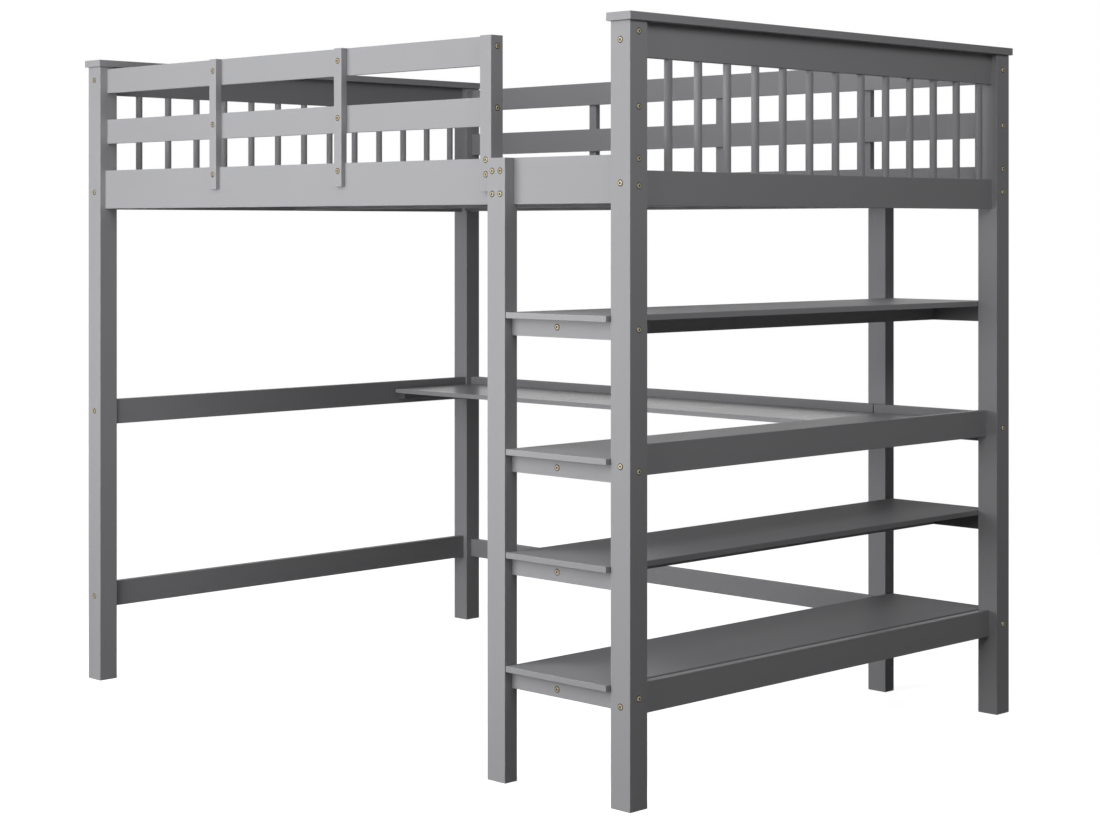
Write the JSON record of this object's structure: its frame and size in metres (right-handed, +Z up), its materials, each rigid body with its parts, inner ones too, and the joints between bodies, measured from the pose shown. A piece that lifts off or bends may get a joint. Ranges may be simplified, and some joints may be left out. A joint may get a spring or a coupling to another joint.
{
  "type": "loft bed",
  "caption": "Raised wooden bed with guard rails and spindled ends, a desk under its back and a shelf tower whose board ends are the steps up.",
  "frame": {"origin": "on the floor, in the middle of the bed's length and width", "axes": "+X along the bed towards the shelf end, +Y from the ladder side to the back, +Z up"},
  "size_m": [1.998, 1.472, 1.6928],
  "materials": {
    "grey_paint": "satin grey paint"
  },
  "bodies": {
    "root": {"post_front_left": "grey_paint", "post_front_right": "grey_paint", "post_back_left": "grey_paint", "post_back_right": "grey_paint", "cap_left": "grey_paint", "cap_right": "grey_paint", "end_top_rail_left": "grey_paint", "end_top_rail_right": "grey_paint", "end_rail_spindles_left": "grey_paint", "end_rail_spindles_right": "grey_paint", "bed_rail_front": "grey_paint", "bed_rail_back": "grey_paint", "slat_ledger_front_slats": "grey_paint", "slat_ledger_back": "grey_paint", "slat_beam": "grey_paint", "guard_rail_front_lower": "grey_paint", "guard_rail_front_upper": "grey_paint", "guard_rail_back_lower": "grey_paint", "guard_rail_back_upper": "grey_paint", "guard_slat_front_1": "grey_paint", "guard_slat_front_2": "grey_paint", "guard_slat_back_1": "grey_paint", "guard_slat_back_2": "grey_paint", "guard_slat_back_3": "grey_paint", "guard_post": "grey_paint", "ladder_post": "grey_paint", "back_middle_post": "grey_paint", "shelf_low": "grey_paint", "shelf_second": "grey_paint", "shelf_desk": "grey_paint", "shelf_top": "grey_paint", "cleat_front_low": "grey_paint", "cleat_front_second": "grey_paint", "cleat_front_desk": "grey_paint", "cleat_front_top": "grey_paint", "cleat_back_low": "grey_paint", "cleat_back_second": "grey_paint", "cleat_back_desk": "grey_paint", "cleat_back_top": "grey_paint", "bearer_low": "grey_paint", "bearer_second": "grey_paint", "bearer_desk": "grey_paint", "bearer_top": "grey_paint", "end_rail_low_left": "grey_paint", "end_rail_desk_left": "grey_paint", "end_rail_low_right": "grey_paint", "end_rail_desk_right": "grey_paint", "back_rail_low": "grey_paint", "back_rail_desk": "grey_paint", "back_rail_shelf": "grey_paint", "desk_board": "grey_paint", "desk_cleat_left": "grey_paint", "desk_cleat_back": "grey_paint", "desk_batten": "grey_paint"}
  },
  "joints": []
}
